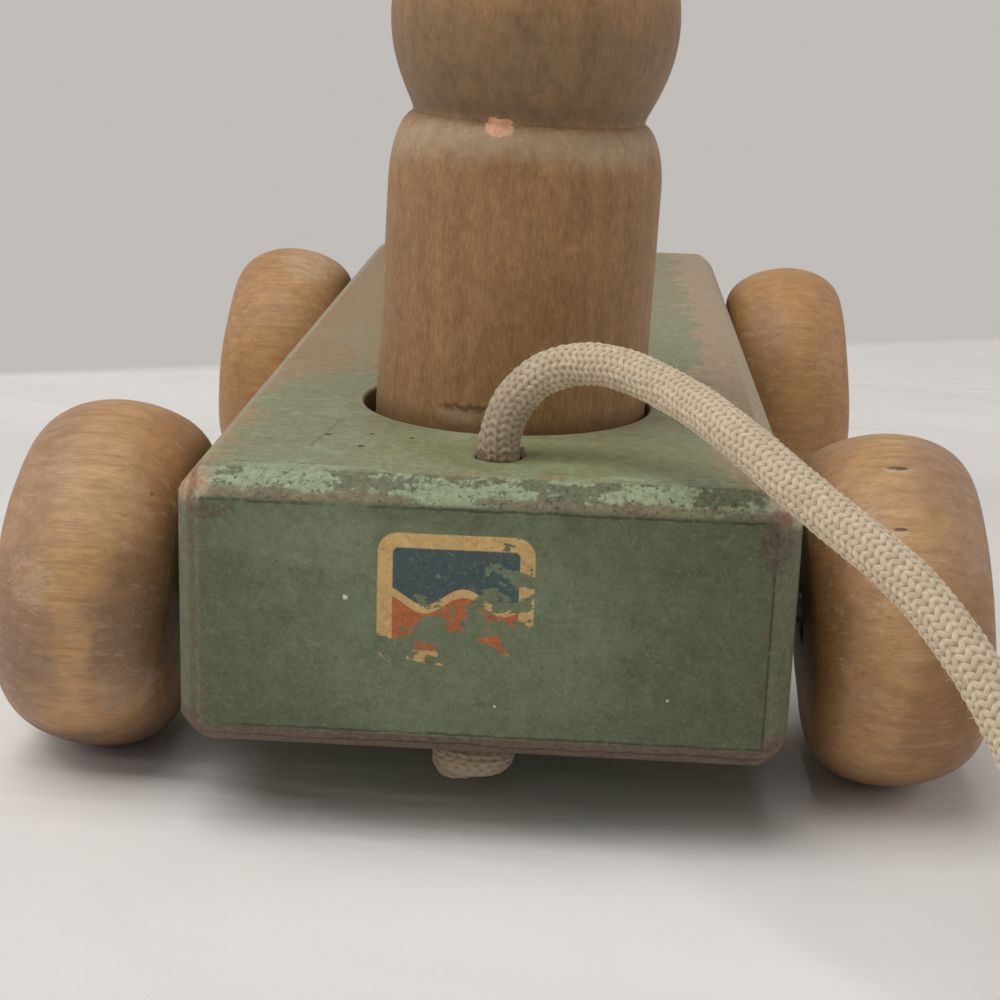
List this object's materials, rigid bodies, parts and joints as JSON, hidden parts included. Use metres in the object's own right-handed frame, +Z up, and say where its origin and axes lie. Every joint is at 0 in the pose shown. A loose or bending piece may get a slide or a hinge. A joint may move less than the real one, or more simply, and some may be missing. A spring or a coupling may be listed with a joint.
{
  "type": "wooden pull toy",
  "caption": "Painted wooden block pull toy on turned barrel wheels, with a lift-out wooden peg driver in a round socket and a braided cotton pull cord.",
  "frame": {"origin": "on the floor under the middle of the toy's box, cord left out", "axes": "+Y from the pull-cord end towards the rear, +Z up, +X to the right as seen from the pull-cord end"},
  "size_m": [0.245, 0.3043, 0.143],
  "materials": {
    "green_paint": "worn satin green paint",
    "turned_wood": "worn varnish",
    "peg_wood": "worn varnish",
    "screw_steel": "dull steel",
    "washer_steel": "dull steel",
    "cotton_cord": "braided cotton",
    "tie_cotton": "flat cotton tape"
  },
  "bodies": {
    "chassis": {"chassis_block": "green_paint", "inner_washer_front_left": "washer_steel", "outer_washer_front_left": "washer_steel", "wheel_screw_front_left": "screw_steel", "inner_washer_front_right": "washer_steel", "outer_washer_front_right": "washer_steel", "wheel_screw_front_right": "screw_steel", "inner_washer_rear_left": "washer_steel", "outer_washer_rear_left": "washer_steel", "wheel_screw_rear_left": "screw_steel", "inner_washer_rear_right": "washer_steel", "outer_washer_rear_right": "washer_steel", "wheel_screw_rear_right": "screw_steel", "cord_stop_knot": "cotton_cord", "pull_cord": "cotton_cord", "cord_coil": "cotton_cord", "cord_end_knot": "cotton_cord", "coil_tie": "tie_cotton"},
    "peg": {"peg_driver": "peg_wood"},
    "wheel_front_left": {"wheel_front_left": "turned_wood"},
    "wheel_front_right": {"wheel_front_right": "turned_wood"},
    "wheel_rear_left": {"wheel_rear_left": "turned_wood"},
    "wheel_rear_right": {"wheel_rear_right": "turned_wood"}
  },
  "joints": [
    {"name": "peg_lift", "type": "slide", "parent": "chassis", "child": "peg", "axis": [0, 0, 1], "range_m": [0, 0.05]},
    {"name": "wheel_spin_front_left", "type": "hinge", "parent": "chassis", "child": "wheel_front_left", "pos_m": [-0.06309, -0.085, 0.02837], "axis": [0.9954, 0, -0.0958], "continuous": true},
    {"name": "wheel_spin_front_right", "type": "hinge", "parent": "chassis", "child": "wheel_front_right", "pos_m": [0.06309, -0.085, 0.02837], "axis": [0.9954, 0, 0.0958], "continuous": true},
    {"name": "wheel_spin_rear_left", "type": "hinge", "parent": "chassis", "child": "wheel_rear_left", "pos_m": [-0.06309, 0.092, 0.02837], "axis": [0.9954, 0, -0.0958], "continuous": true},
    {"name": "wheel_spin_rear_right", "type": "hinge", "parent": "chassis", "child": "wheel_rear_right", "pos_m": [0.06309, 0.092, 0.02837], "axis": [0.9954, 0, 0.0958], "continuous": true}
  ]
}
